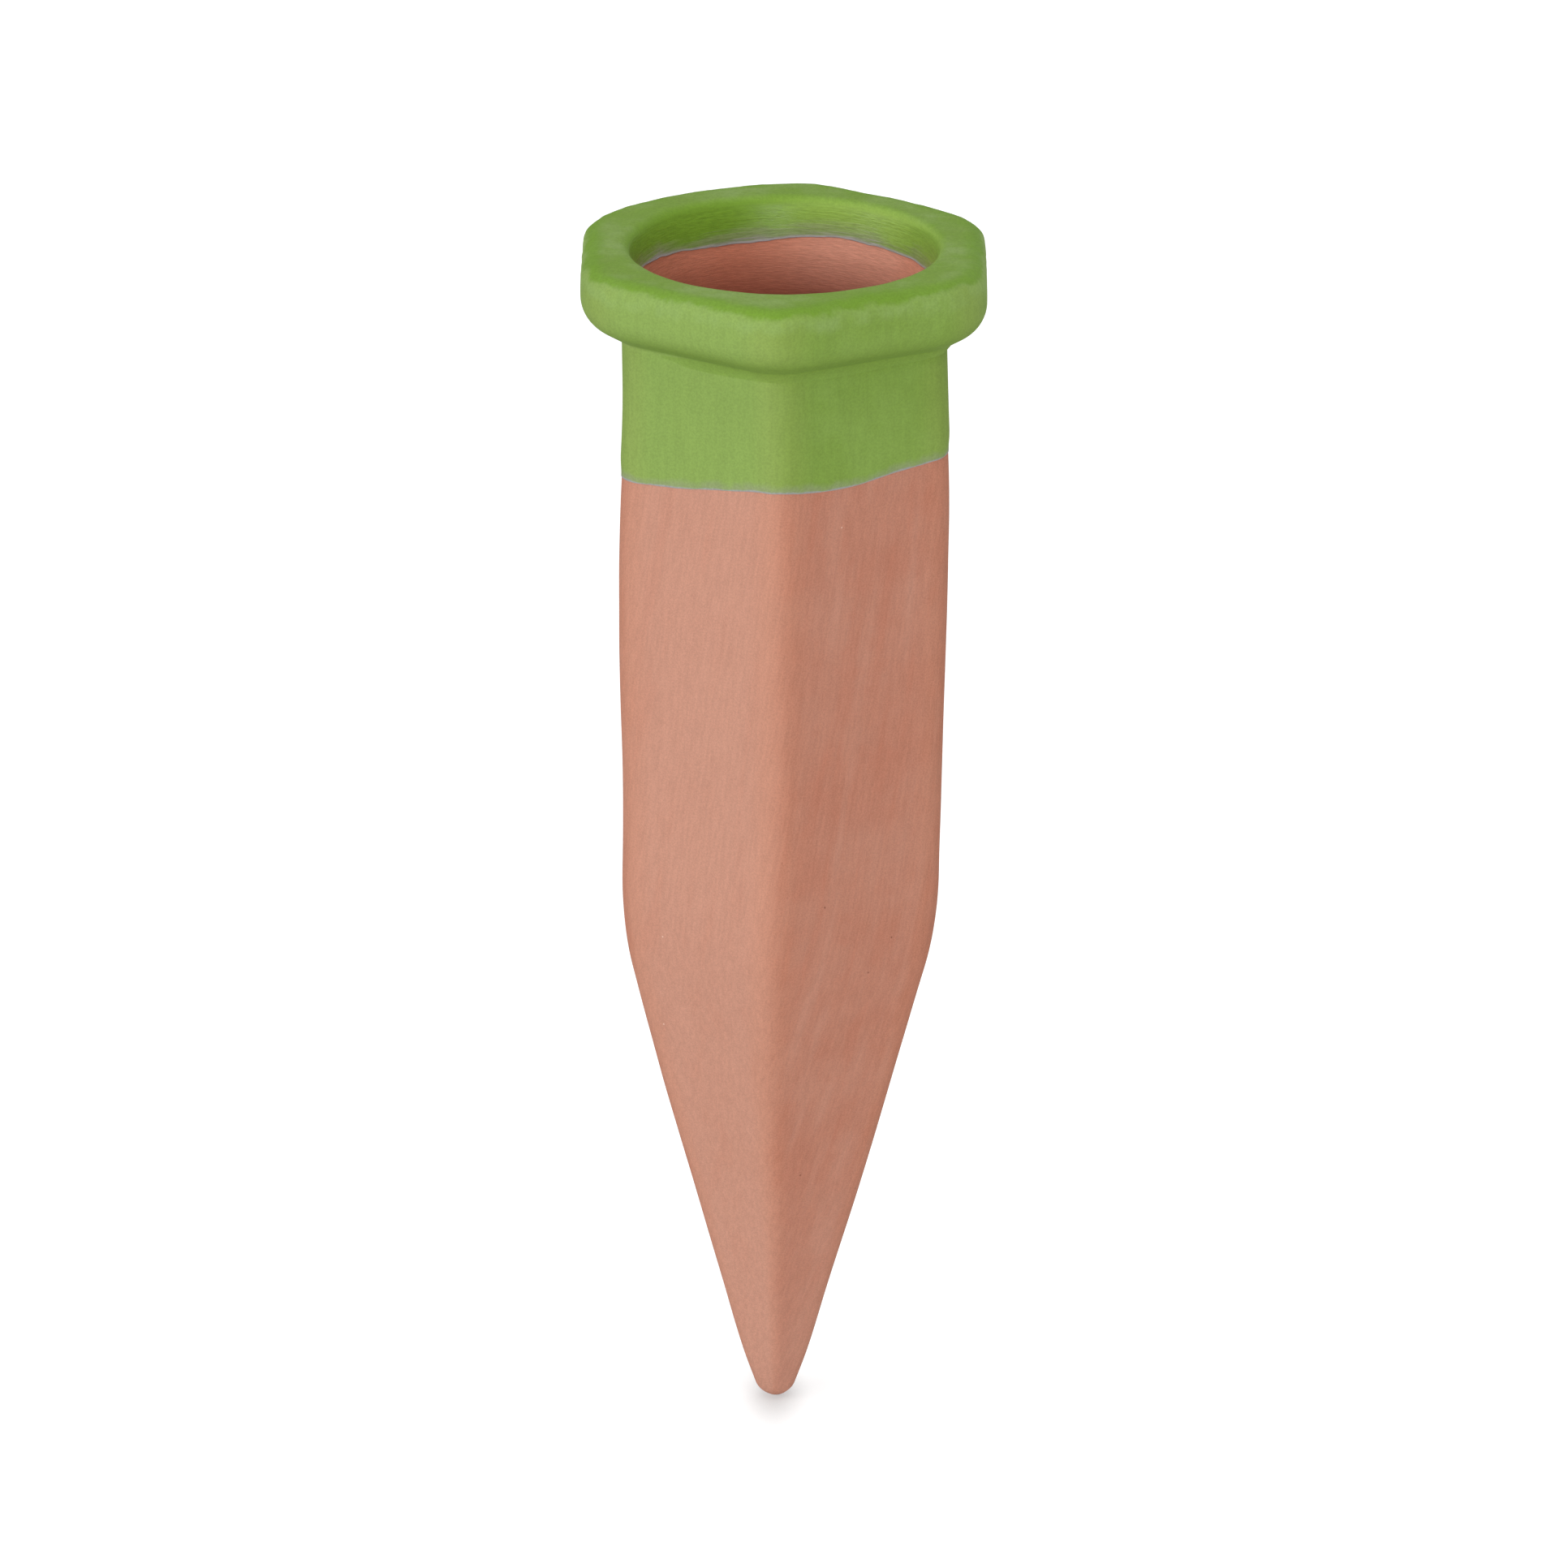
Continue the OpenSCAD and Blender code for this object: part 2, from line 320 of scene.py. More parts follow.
class Profile:
    """The line round which the spike is formed, read by the distance along it."""

    def __init__(self):
        outer, inner = outer_profile(), inner_profile()
        self.rows = np.array(outer + inner)
        step = np.hypot(np.diff(self.rows[:, 0]), np.diff(self.rows[:, 2]))
        self.run = np.concatenate([[0], np.cumsum(step)])
        self.outer, self.inner = slice(0, len(outer)), slice(len(outer), None)
        self.length = self.run[-1]

        rim_start = len(outer) - (RIM_STEPS + 1)
        underside_start = rim_start - (UNDERSIDE_STEPS + 1)
        neck_middle = underside_start - 1 - NECK_STEPS // 2
        self.neck = self.run[neck_middle]
        self.side_foot = self.run[rim_start - 1]
        self.side_top = self.run[rim_start]
        self.rim_out = self.run[len(outer) - 1]
        self.rim_in = self.run[len(outer)]
        self.lip_end = self.run[len(outer) + LIP_STEPS]

    def at(self, s):
        """Half width, edge radius and height at distances along the line."""
        return [np.interp(s, self.run, self.rows[:, k]) for k in range(3)]

    def outside_at(self, z):
        """Distance along the line at which the outside has this height."""
        return np.interp(z, self.rows[self.outer, 2], self.run[self.outer])

    def inside_at(self, z):
        """Distance along the line at which the bore has this height."""
        return np.interp(-z, -self.rows[self.inner, 2], self.run[self.inner])


# ---------------------------------------------------------------- the formed surface

SIXTH = math.pi / 3
LIP_WIDTH = 2  # distance over which the hexagon's handwork gives way to the bore's
LEAST_PULLED_HALF = 0.5  # rows at the tip that are narrower than this are pulled as if they had it
PULL_SOFTNESS = 0.02  # rounds off the place where the pull begins
RING_CLIMB = 0.25  # how much the throwing rings climb in one radian


def from_nearest_flat(azimuth):
    """Angle from the middle of the nearest flat."""
    return (azimuth + SIXTH / 2) % SIXTH - SIXTH / 2


def hexagon_reach(azimuth, half, edge_r):
    """Distance from the axis to a hexagon with rounded edges, in the direction of an azimuth."""
    from_flat = from_nearest_flat(azimuth)
    from_edge = SIXTH / 2 - np.abs(from_flat)
    centre = (half - edge_r) / math.cos(SIXTH / 2)
    on_arc = centre * np.cos(from_edge) + np.sqrt(
        np.maximum(edge_r ** 2 - (centre * np.sin(from_edge)) ** 2, 0)
    )
    on_flat = half / np.cos(from_flat)
    flat_half = centre / 2
    return np.where(half * np.tan(np.abs(from_flat)) <= flat_half, on_flat, on_arc)


def pull_edge(x, y, half, drift, azimuth):
    """Moves the edge at an azimuth sideways. The flats beside it turn with it and stay flat.

    The share is 1 at this edge and falls evenly to 0 at the edges next to it.
    """
    c, s = math.cos(azimuth), math.sin(azimuth)
    out, side = x * c + y * s, y * c - x * s
    share = out / np.maximum(half, LEAST_PULLED_HALF) / math.tan(SIXTH / 2) - 1
    share = (share + np.sqrt(share * share + PULL_SOFTNESS)) / 2
    side = side + drift * np.minimum(share, 1.0)
    return out * c - side * s, out * s + side * c


def wandering_edges(x, y, z, half, outside):
    """Hand-cut edges don't run straight. The bore doesn't follow them."""
    side_drift = through(SIDE_EDGE_DRIFT, z)
    drifts = {
        -90: through(FRONT_EDGE_DRIFT, z),
        90: through(BACK_EDGE_DRIFT, z),
        -30: -side_drift,
        30: side_drift,
        150: -side_drift,
        -150: side_drift,
    }
    for azimuth, drift in drifts.items():
        x, y = pull_edge(x, y, half, drift * outside, math.radians(azimuth))
    return x, y


def formed(profile, azimuth, s):
    """Points of the clay's surface, for grids of azimuth and distance along the profile."""
    half, edge_r, z = profile.at(s)
    outside = 1 - rise(s, profile.rim_out, LIP_WIDTH)
    reach = hexagon_reach(azimuth, half, edge_r)
    x, y = reach * np.cos(azimuth), reach * np.sin(azimuth)
    x, y = wandering_edges(x, y, z, half, outside)
    z = np.where(outside > 0.5, np.maximum(z, -TIP_CUT_SLOPE * x), z)
    points = np.stack([x + through(LEAN, z), y, z], axis=-1)
    return points + handwork(profile, points, azimuth, s, outside)


def handwork(profile, points, azimuth, s, outside):
    """Small unevenness, outwards from the axis and, on the collar, upwards."""
    radial = np.stack([np.cos(azimuth), np.sin(azimuth), np.zeros_like(azimuth)], axis=-1)
    up = np.zeros_like(points)
    up[..., 2] = 1
    outward = outside * cut_and_scraped(points, azimuth)
    inward = (1 - outside) * thrown(points, azimuth)
    heights = raised(profile, points, s, outside)
    return radial * (outward + inward)[..., None] + up * heights[..., None]


def cut_and_scraped(points, azimuth):
    """How far the outside stands out from its plain form."""
    z = points[..., 2]
    degrees = in_degrees(azimuth)
    slow = waves(points, depth=0.045, size=13, seed=1) + waves(points, depth=0.02, size=4, seed=2)
    full = through(FULLNESS, z) * np.minimum(np.hypot(points[..., 0], points[..., 1]), 1)
    collar = rise(z, 89.5, 1.5) * through(COLLAR_TRIM, degrees, 360)
    trimmed = through(RIM_TRIM, degrees, 360) + waves(points, depth=0.04, size=1.6, seed=4)
    crumbs = waves(points, depth=0.045, size=0.6, seed=5)
    away_from_tip, at_rim = rise(z, 0, 8), rise(z, 92.8, 1.8)
    return slow * away_from_tip + full + collar + at_rim * (trimmed + crumbs)


def thrown(points, azimuth):
    """How far the bore stands out from its plain form: throwing rings and slow waves."""
    z = points[..., 2]
    rings = np.stack([z * 0, z * 0, z + azimuth * RING_CLIMB], axis=-1)
    return waves(rings, depth=0.02, size=0.9, seed=6) + waves(points, depth=0.05, size=6, seed=7)


def raised(profile, points, s, outside):
    """How far the top and the underside of the collar lie above their plain form."""
    z = points[..., 2]
    top = rise(s, profile.side_top, 1.2) * (1 - rise(s, profile.lip_end, 1.5))
    settled = 0.06 * (unevenness(points, 7, 8) - 0.9)  # from 0.11 mm down to next to nothing up
    under = outside * rise(z, 86, 3) * (1 - rise(z, 92, 2))
    lifted = top * (settled + waves(points, depth=0.025, size=1.8, seed=9))
    return lifted - UNDERSIDE_TILT_SHARE * points[..., 0] * under


def normals(points):
    """Normals of a grid of points, closed along its second direction.

    They point out of the clay where the rows follow the profile, and into it where they run back.
    """
    across = np.roll(points, -1, axis=1) - np.roll(points, 1, axis=1)
    along = np.gradient(points, axis=0)
    n = np.cross(across, along)
    return n / np.maximum(np.linalg.norm(n, axis=-1, keepdims=True), 1e-9)


# ---------------------------------------------------------------- meshes

CLAY_COLUMNS = 240
COAT_COLUMNS = 480
COAT_ROWS_OUT = 104
COAT_ROWS_IN = 12
COAT_EDGE_T = 0.045  # the coat's thickness at its two edges
COAT_SINK = 0.03  # how far its inner skin lies under the clay's surface
OUTER_FEATHER = 1.6  # distance from the outer edge over which it reaches its full thickness
INNER_FEATHER = 2.4
EDGE_ROWS = (0, 0.05, 0.11, 0.2, 0.32, 0.48)  # distances of the rows nearest to each edge
EVEN_ROWS_FROM = 0.7  # and from here on the rows are evenly spaced
DIP_RING_R = 12  # radius of the ring on which the ragged waves of the edges are read


def columns(count):
    """Azimuths round the axis. The first column is at the front edge."""
    return np.arange(count) * 2 * np.pi / count - np.pi / 2


def grid_faces(count, width, ring):
    """Quads between the rows of a grid, and between the last and the first row of a ring."""
    i = np.arange(width)
    j = (i + 1) % width
    pairs = [(k, (k + 1) % count) for k in range(count if ring else count - 1)]
    quads = [
        np.stack([k * width + i, k * width + j, m * width + j, m * width + i], axis=-1)
        for k, m in pairs
    ]
    return np.concatenate(quads).tolist()


def fan(hub, first, width, turned):
    """Triangles from a middle point to the row of points that starts at the first."""
    pairs = [(first + i, first + (i + 1) % width) for i in range(width)]
    return [(hub, b, a) if turned else (hub, a, b) for a, b in pairs]


def mesh_of(name, rows, marks, caps=None):
    """A closed mesh of a grid of points: capped at both ends, or closed on itself as a ring."""
    count, width = rows.shape[:2]
    verts = rows.reshape(-1, 3)
    faces = grid_faces(count, width, ring=not caps)
    if caps:
        tip, bottom = len(verts), len(verts) + 1
        verts = np.concatenate([verts, caps])
        faces += fan(tip, 0, width, turned=True)
        faces += fan(bottom, (count - 1) * width, width, turned=False)
    mesh = bpy.data.meshes.new(name)
    mesh.from_pydata((verts * MM).tolist(), [], faces)
    for mark, values in marks.items():
        # The middle points of the caps come last, where there are any, and get 0
        flat = np.concatenate([values.reshape(-1), [0, 0]])[: len(verts)]
        mesh.attributes.new(mark, "FLOAT", "POINT").data.foreach_set("value", flat.astype(np.float32))
    mesh.shade_smooth()
    mesh.validate()
    made = bpy.data.objects.new(name, mesh)
    bpy.context.scene.collection.objects.link(made)
    return made


def painted_light_side(points):
    """1 where the surface faces the light from the left, where light and a whitish sheen are painted,
    and 0 where it faces away.
    """
    n = normals(points)
    facing = n[..., 0] * PAINTED_LIGHT_TOWARDS[0] + n[..., 1] * PAINTED_LIGHT_TOWARDS[1]
    far_left = rise(-n[..., 0], 0.7, 0.2)
    return rise(facing, -0.02, 0.8) * (1 - 0.5 * far_left)


def near_edges(azimuth):
    """1 at the six long edges and 0 on the flats between them."""
    return rise(np.abs(from_nearest_flat(azimuth)), math.radians(18), math.radians(10))


def clay_rows(profile):
    """Distances along the profile. They are closest at the tip and just inside the mouth."""
    neck = profile.outside_at(81.5)
    mouth = profile.inside_at(86.0)
    return np.concatenate([
        np.linspace(0, 2.4, 12, endpoint=False),
        np.linspace(2.4, neck, 212, endpoint=False),
        np.linspace(neck, profile.rim_in, 36, endpoint=False),
        np.linspace(profile.rim_in, mouth, 44, endpoint=False),
        np.linspace(mouth, profile.length, 44),
    ])


def clay_mesh(profile):
    azimuth, s = np.meshgrid(columns(CLAY_COLUMNS), clay_rows(profile))
    points = formed(profile, azimuth, s)
    tip = points[0].mean(axis=0) * (1, 1, 0)
    bottom = points[-1].mean(axis=0)
    marks = {
        "inside": rise(s, profile.rim_in, 1.0),
        "edge": near_edges(azimuth),
        "painted_light": painted_light_side(points),
    }
    return mesh_of("fired_clay", points, marks, caps=[tip, bottom])


def ragged_edge(azimuth, depth, seed):
    """The small ragged waves of an edge where slip stopped, in millimetres."""
    ring = np.stack([DIP_RING_R * np.cos(azimuth), DIP_RING_R * np.sin(azimuth), 0 * azimuth], axis=-1)
    return depth * (unevenness(ring, 2.2, seed) + waves(ring, depth=0.6, size=0.7, seed=seed + 1))


def coat_rows(low, high, count):
    """Distances along the profile from the outer to the inner dip edge, closer at the edges."""
    start = np.array(EDGE_ROWS)[:, None]
    middle = mix(low + EVEN_ROWS_FROM, high - EVEN_ROWS_FROM, np.linspace(0, 1, count)[:, None])
    return np.concatenate([low + start, middle, high - start[::-1]])


def coat_thickness(s, low, high):
    """The coat's thickness, which feathers out towards its two edges."""
    full = np.minimum(rise(s, low, OUTER_FEATHER), ease((high - s) / INNER_FEATHER))
    return COAT_EDGE_T + (COAT_T - COAT_EDGE_T) * full


def coat_mesh(profile):
    azimuth = columns(COAT_COLUMNS)
    degrees = in_degrees(azimuth)
    low = profile.outside_at(through(OUTER_DIP, degrees, 360) + ragged_edge(azimuth, 0.035, 21))
    high = profile.inside_at(through(INNER_DIP, degrees, 360) + ragged_edge(azimuth, 0.06, 31))
    s_out = coat_rows(low, high, COAT_ROWS_OUT)
    s_in = coat_rows(low, high, COAT_ROWS_IN)[::-1]
    outer = formed(profile, np.broadcast_to(azimuth, s_out.shape), s_out)
    outer = outer + normals(outer) * coat_thickness(s_out, low, high)[..., None]
    # The inner skin's rows run back, so its normals point into the clay
    inner = formed(profile, np.broadcast_to(azimuth, s_in.shape), s_in)
    inner = inner + normals(inner) * COAT_SINK
    s = np.concatenate([s_out, s_in])
    marks = {
        "painted_light": np.concatenate([painted_light_side(outer), np.zeros(s_in.shape)]),
        "edge": near_edges(np.broadcast_to(azimuth, s.shape)),
        "from_outer_edge": s - low,
        "from_inner_edge": high - s,
        "painted_collar_shade": painted_collar_shade_mask(profile, azimuth, s),
        "along": (s - profile.side_top) / (profile.lip_end - profile.side_top),
    }
    return mesh_of("slip_coat", np.concatenate([outer, inner]), marks)


def painted_collar_shade_mask(profile, azimuth, s):
    """1 where shade is painted: on the collar's underside and, less, just below it on the side away
    from the light from the left.
    """
    painted_light_azimuth = math.atan2(PAINTED_LIGHT_TOWARDS[1], PAINTED_LIGHT_TOWARDS[0])
    painted_light = ease((np.cos(azimuth - painted_light_azimuth) + 0.1) / 0.6)
    below = 0.6 * ease(1 + (s - profile.neck + 0.2) / 1.2) * (1 - painted_light)
    above = ease((s - profile.neck + 0.3 - 0.5 * painted_light) / 0.6)
    return np.maximum(below, above) * (1 - ease((s - profile.side_foot + 2.4) / 2.2))


# ---------------------------------------------------------------- materials

def linear(red, green, blue):
    """An sRGB colour, 0 to 255, as the linear colour that a socket takes."""
    def one(v):
        v = v / 255
        return v / 12.92 if v <= 0.04045 else ((v + 0.055) / 1.055) ** 2.4
    return (one(red), one(green), one(blue), 1)


CLAY = {
    "plain": linear(185, 124, 102),
    "cloud": linear(189, 133, 112),
    "mottle": linear(184, 119, 97),
    "painted_light_side": linear(194, 144, 124),
    "pale_streak": linear(196, 144, 124),
    "red_streak": linear(185, 118, 95),
    "worn_edge": linear(196, 130, 102),
    "near_tip": linear(200, 150, 130),
    "inside": linear(214, 131, 105),
    "inside_painted_light": linear(228, 159, 137),
    "painted_deep_shade": linear(148, 72, 54),
    "pit": linear(110, 62, 50),
    "speck": linear(232, 205, 190),
}

SLIP = {
    "side": linear(125, 155, 67),
    "side_cloud": linear(130, 160, 74),
    "side_patch": linear(119, 150, 60),
    "painted_light_side": linear(135, 162, 83),
    "worn_edge": linear(148, 160, 82),
    "rim": linear(119, 151, 60),
    "rim_cloud": linear(133, 160, 87),
    "rim_patch": linear(121, 150, 64),
    "rim_stroke": linear(115, 151, 50),
    "scuffed": linear(139, 167, 92),
    "beside_scuff": linear(112, 150, 46),
    "inside": linear(118, 157, 47),
    "inside_painted_light": linear(146, 178, 80),
    "painted_collar_shade": linear(112, 141, 53),
    "inner_fringe": linear(136, 150, 100),
    "inner_fringe_end": linear(158, 153, 148),
    "inner_line": linear(178, 172, 178),
    "outer_fringe": linear(142, 152, 116),
    "outer_line": linear(156, 154, 158),
}


class Graph:
    """Adds nodes to a material. An input is given as a value or as another node's output.

    Inputs go by name, or by an underscore and their number where a node has several of one name.
    """

    def __init__(self, name):
        self.material = bpy.data.materials.new(name)
        self.material.use_nodes = True
        self.tree = self.material.node_tree
        self.shader = self.tree.nodes["Principled BSDF"]

    def node(self, kind, settings=None, **inputs):
        made = self.tree.nodes.new("ShaderNode" + kind)
        for key, value in (settings or {}).items():
            setattr(made, key, value)
        for key, value in inputs.items():
            self.plug(made.inputs[int(key[1:])] if key[0] == "_" else made.inputs[key], value)
        return made

    def plug(self, socket, value):
        if isinstance(value, bpy.types.NodeSocket):
            self.tree.links.new(value, socket)
        else:
            socket.default_value = value

    def coordinates(self, scale=(1, 1, 1), turn=(0, 0, 0)):
        """The object's own coordinates, turned and then scaled. A small scale draws noise out."""
        place = self.node("TexCoord").outputs["Object"]
        turned = self.node("Mapping", Vector=place, Rotation=turn)
        return self.node("Mapping", Vector=turned.outputs[0], Scale=scale).outputs[0]

    def noise(self, vector, size_mm, detail=2.0, rough=0.5):
        scale = 1 / (size_mm * MM)
        made = self.node("TexNoise", Vector=vector, Scale=scale, Detail=detail, Roughness=rough)
        return made.outputs["Fac"]

    def span(self, value, low, high, to_low=0.0, to_high=1.0):
        """Takes a value from low to high smoothly over to the range from to_low to to_high."""
        smooth = {"interpolation_type": "SMOOTHSTEP"}
        made = self.node("MapRange", smooth, _0=value, _1=low, _2=high, _3=to_low, _4=to_high)
        return made.outputs[0]

    def maths(self, operation, a, b):
        return self.node("Math", {"operation": operation}, _0=a, _1=b).outputs[0]

    def times(self, a, b):
        return self.maths("MULTIPLY", a, b)

    def plus(self, a, b):
        return self.maths("ADD", a, b)

    def blend(self, share, under, over):
        """Lays a share of one colour over another."""
        return self.node("Mix", {"data_type": "RGBA"}, _0=share, _6=under, _7=over).outputs[2]

    def either(self, share, a, b):
        """A number that goes from a to b as the share goes from 0 to 1."""
        return self.node("Mix", {"data_type": "FLOAT"}, _0=share, _2=a, _3=b).outputs[0]

    def shaded(self, colour, by):
        """A colour made lighter or darker by a share of its own value."""
        return self.node("HueSaturation", Color=colour, Value=self.plus(by, 1.0)).outputs[0]

    def mark(self, name):
        """One of the marks that the mesh carries on its points."""
        return self.node("Attribute", {"attribute_name": name}).outputs["Fac"]

    def specks(self, vector, size_mm, share, spread):
        """Small round dots in a few of the cells of a grid with cells of this size."""
        cells = self.node("TexVoronoi", Vector=vector, Scale=1 / (size_mm * MM))
        chosen = self.node("SeparateColor", Color=cells.outputs["Color"]).outputs[0]
        near = self.span(cells.outputs["Distance"], spread * 0.5, spread, 1.0, 0.0)
        return self.times(near, self.maths("GREATER_THAN", chosen, 1 - share))

    def surface(self, colour, roughness, relief, bump, specular):
        """Gives the shader its inputs. The bump is how strongly the relief shows."""
        bumped = self.node("Bump", Strength=bump, Distance=0.06 * MM, Height=relief)
        self.plug(self.shader.inputs["Base Color"], colour)
        self.plug(self.shader.inputs["Roughness"], roughness)
        self.plug(self.shader.inputs["Normal"], bumped.outputs[0])
        self.plug(self.shader.inputs["Specular IOR Level"], specular)
        return self.material


def clay_textures(g):
    """Scraping runs up the outside, at a slant. Throwing and combing run round the inside."""
    plain = g.coordinates()
    scraped = g.coordinates(scale=(1, 1, 0.07), turn=(0, math.radians(-10), 0))
    thrown_round = g.coordinates(scale=(0.5, 0.5, 6))
    combed = g.coordinates(scale=(0.4, 0.4, 3.4))
    return SimpleNamespace(
        height=g.node("SeparateXYZ", Vector=plain).outputs[2],
        cloud=g.noise(plain, 9, 3),
        mottle=g.noise(plain, 1.4, 3),
        grain=g.noise(plain, 0.12, 2, 0.6),
        wide_streak=g.noise(scraped, 1.5, 3),
        fine_streak=g.noise(scraped, 0.25, 2),
        rings=g.noise(thrown_round, 1.2, 3),
        granular=g.noise(combed, 0.32, 3, 0.65),
        pits=g.specks(plain, 1.7, 0.06, 0.06),
        specks=g.specks(plain, 2.2, 0.08, 0.035),
        inside=g.mark("inside"),
        edge=g.mark("edge"),
        painted_light=g.mark("painted_light"),
    )


def outside_clay(g, t):
    colour = g.blend(g.span(t.cloud, 0.3, 0.7), CLAY["plain"], CLAY["cloud"])
    colour = g.blend(g.span(t.mottle, 0.5, 0.75, 0, 0.25), colour, CLAY["mottle"])
    # Painted light and a whitish sheen on the side that faces the light from the left
    colour = g.blend(g.times(t.painted_light, 0.8), colour, CLAY["painted_light_side"])
    colour = g.blend(g.span(t.wide_streak, 0.5, 0.72, 0, 0.4), colour, CLAY["pale_streak"])
    redder = g.times(g.span(t.wide_streak, 0.47, 0.3, 0, 0.35), g.span(t.painted_light, 0, 1, 1, 0.35))
    colour = g.blend(redder, colour, CLAY["red_streak"])
    colour = g.blend(g.times(t.edge, 0.25), colour, CLAY["worn_edge"])
    return g.blend(g.span(t.height, 26 * MM, 0, 0, 0.5), colour, CLAY["near_tip"])


def inside_clay(g, t, colour):
    """The bore's clay over the outside's. Shade is painted deeper down: it darkens from 91.5 to 86 mm
    above the tip.
    """
    # Painted light on the bore's side that faces the light from the left
    within = g.blend(g.times(t.painted_light, 0.9), CLAY["inside"], CLAY["inside_painted_light"])
    colour = g.blend(g.times(t.inside, 0.8), colour, within)
    # Painted shade, stronger deeper in the bore
    painted_depth_share = g.times(t.inside, g.span(t.height, 91.5 * MM, 86.0 * MM))
    return g.blend(g.times(painted_depth_share, 0.85), colour, CLAY["painted_deep_shade"])


def terracotta():
    g = Graph("terracotta")
    t = clay_textures(g)
    streaked = g.plus(
        g.span(t.fine_streak, 0.3, 0.7, -0.04, 0.04), g.span(t.grain, 0.25, 0.75, -0.09, 0.09)
    )
    ringed = g.plus(g.span(t.rings, 0.3, 0.7, -0.03, 0.03), g.span(t.granular, 0.3, 0.7, -0.1, 0.1))
    colour = inside_clay(g, t, outside_clay(g, t))
    colour = g.shaded(colour, g.either(t.inside, streaked, ringed))
    colour = g.blend(g.times(t.pits, 0.6), colour, CLAY["pit"])
    colour = g.blend(g.times(t.specks, 0.7), colour, CLAY["speck"])

    fine = g.plus(g.times(t.grain, 0.55), g.times(t.fine_streak, 0.45))
    relief = g.maths("SUBTRACT", g.either(t.inside, fine, t.granular), g.times(t.pits, 1.2))
    roughness = g.span(t.mottle, 0.3, 0.7, 0.82, 0.92)
    return g.surface(colour, roughness, relief, bump=0.6, specular=0.08)


def slip_textures(g):
    """Drag lines run down the sides, strokes lie across the rim and rings run round the inside."""
    plain = g.coordinates()
    dragged = g.coordinates(scale=(1, 1, 0.1))
    stroked = g.coordinates(scale=(0.4, 1, 1))
    thrown_round = g.coordinates(scale=(0.25, 0.25, 6))
    combed = g.coordinates(scale=(0.5, 0.5, 2.6))
    patch = g.noise(plain, 1.8, 3, 0.6)
    along = g.mark("along")
    return SimpleNamespace(
        cloud=g.noise(plain, 5, 3),
        patch=patch,
        grain=g.noise(plain, 0.16, 2, 0.6),
        drag=g.noise(dragged, 0.35, 2),
        strokes=g.noise(stroked, 1.1, 4, 0.6),
        rings=g.noise(thrown_round, 0.9, 3),
        granular=g.noise(combed, 0.35, 3, 0.65),
        along=along,
        ragged=g.plus(along, g.span(patch, 0.3, 0.7, -0.06, 0.06)),
        well_side=g.span(along, 0.9, 1.1),
        painted_light=g.mark("painted_light"),
    )


def slip_side(g, t):
    colour = g.blend(g.span(t.cloud, 0.35, 0.65), SLIP["side"], SLIP["side_cloud"])
    colour = g.blend(g.span(t.patch, 0.45, 0.8, 0, 0.25), colour, SLIP["side_patch"])
    # Painted light and a whitish sheen on the side that faces the light from the left
    colour = g.blend(g.times(t.painted_light, 0.8), colour, SLIP["painted_light_side"])
    return g.blend(g.times(g.mark("edge"), 0.2), colour, SLIP["worn_edge"])


def slip_rim(g, t):
    colour = g.blend(g.span(t.cloud, 0.38, 0.62), SLIP["rim"], SLIP["rim_cloud"])
    colour = g.blend(g.span(t.patch, 0.42, 0.72, 0, 0.6), colour, SLIP["rim_patch"])
    return g.blend(g.span(t.strokes, 0.5, 0.75, 0, 0.6), colour, SLIP["rim_stroke"])


def slip_zones(g, t):
    """Side, scuffed rim edge with a darker band beside it, rim, inside of the mouth with painted light
    on its side that faces the left, and painted shade under the collar.
    """
    scuffed = g.times(g.span(t.ragged, -0.2, 0.04), g.span(t.ragged, 0.08, 0.26, 1, 0))
    scuffed = g.times(scuffed, g.span(t.patch, 0.3, 0.65, 0.15, 0.75))
    band = g.times(g.span(t.ragged, 0.14, 0.26), g.span(t.ragged, 0.32, 0.6, 1, 0))
    # Painted light on the inside of the mouth, on its side that faces the light from the left
    within = g.blend(g.times(t.painted_light, 0.9), SLIP["inside"], SLIP["inside_painted_light"])
    colour = g.blend(g.span(t.ragged, 0.08, 0.26), slip_side(g, t), slip_rim(g, t))
    colour = g.blend(scuffed, colour, SLIP["scuffed"])
    colour = g.blend(g.times(band, 0.8), colour, SLIP["beside_scuff"])
    colour = g.blend(g.span(t.along, 0.8, 1.0), colour, within)
    # Painted shade under the collar
    return g.blend(g.times(g.mark("painted_collar_shade"), 0.9), colour, SLIP["painted_collar_shade"])


def slip_fringes(g, t, colour):
    """A thin grey fringe at each edge of the coat, with a paler line at its very end.

    Distances from an edge are in millimetres.
    """
    outer, inner = g.mark("from_outer_edge"), g.mark("from_inner_edge")
    fringe = g.plus(inner, g.span(t.cloud, 0.35, 0.65, 0.6, 0.0))
    fringe = g.plus(fringe, g.span(t.rings, 0.3, 0.7, 0.35, -0.2))
    colour = g.blend(g.span(fringe, 1.7, 0.6, 0, 0.8), colour, SLIP["inner_fringe"])
    colour = g.blend(g.span(fringe, 0.7, 0.05, 0, 0.85), colour, SLIP["inner_fringe_end"])
    wide = g.plus(outer, g.span(t.patch, 0.3, 0.7, 0.25, -0.15))
    colour = g.blend(g.span(wide, 0.9, 0.05, 0, 0.7), colour, SLIP["outer_fringe"])
    line = g.span(g.plus(outer, g.span(t.patch, 0.3, 0.7, 0.07, -0.05)), 0.17, 0.05)
    colour = g.blend(g.times(line, 0.85), colour, SLIP["outer_line"])
    return g.blend(g.span(inner, 0.25, 0.05, 0, 0.8), colour, SLIP["inner_line"])


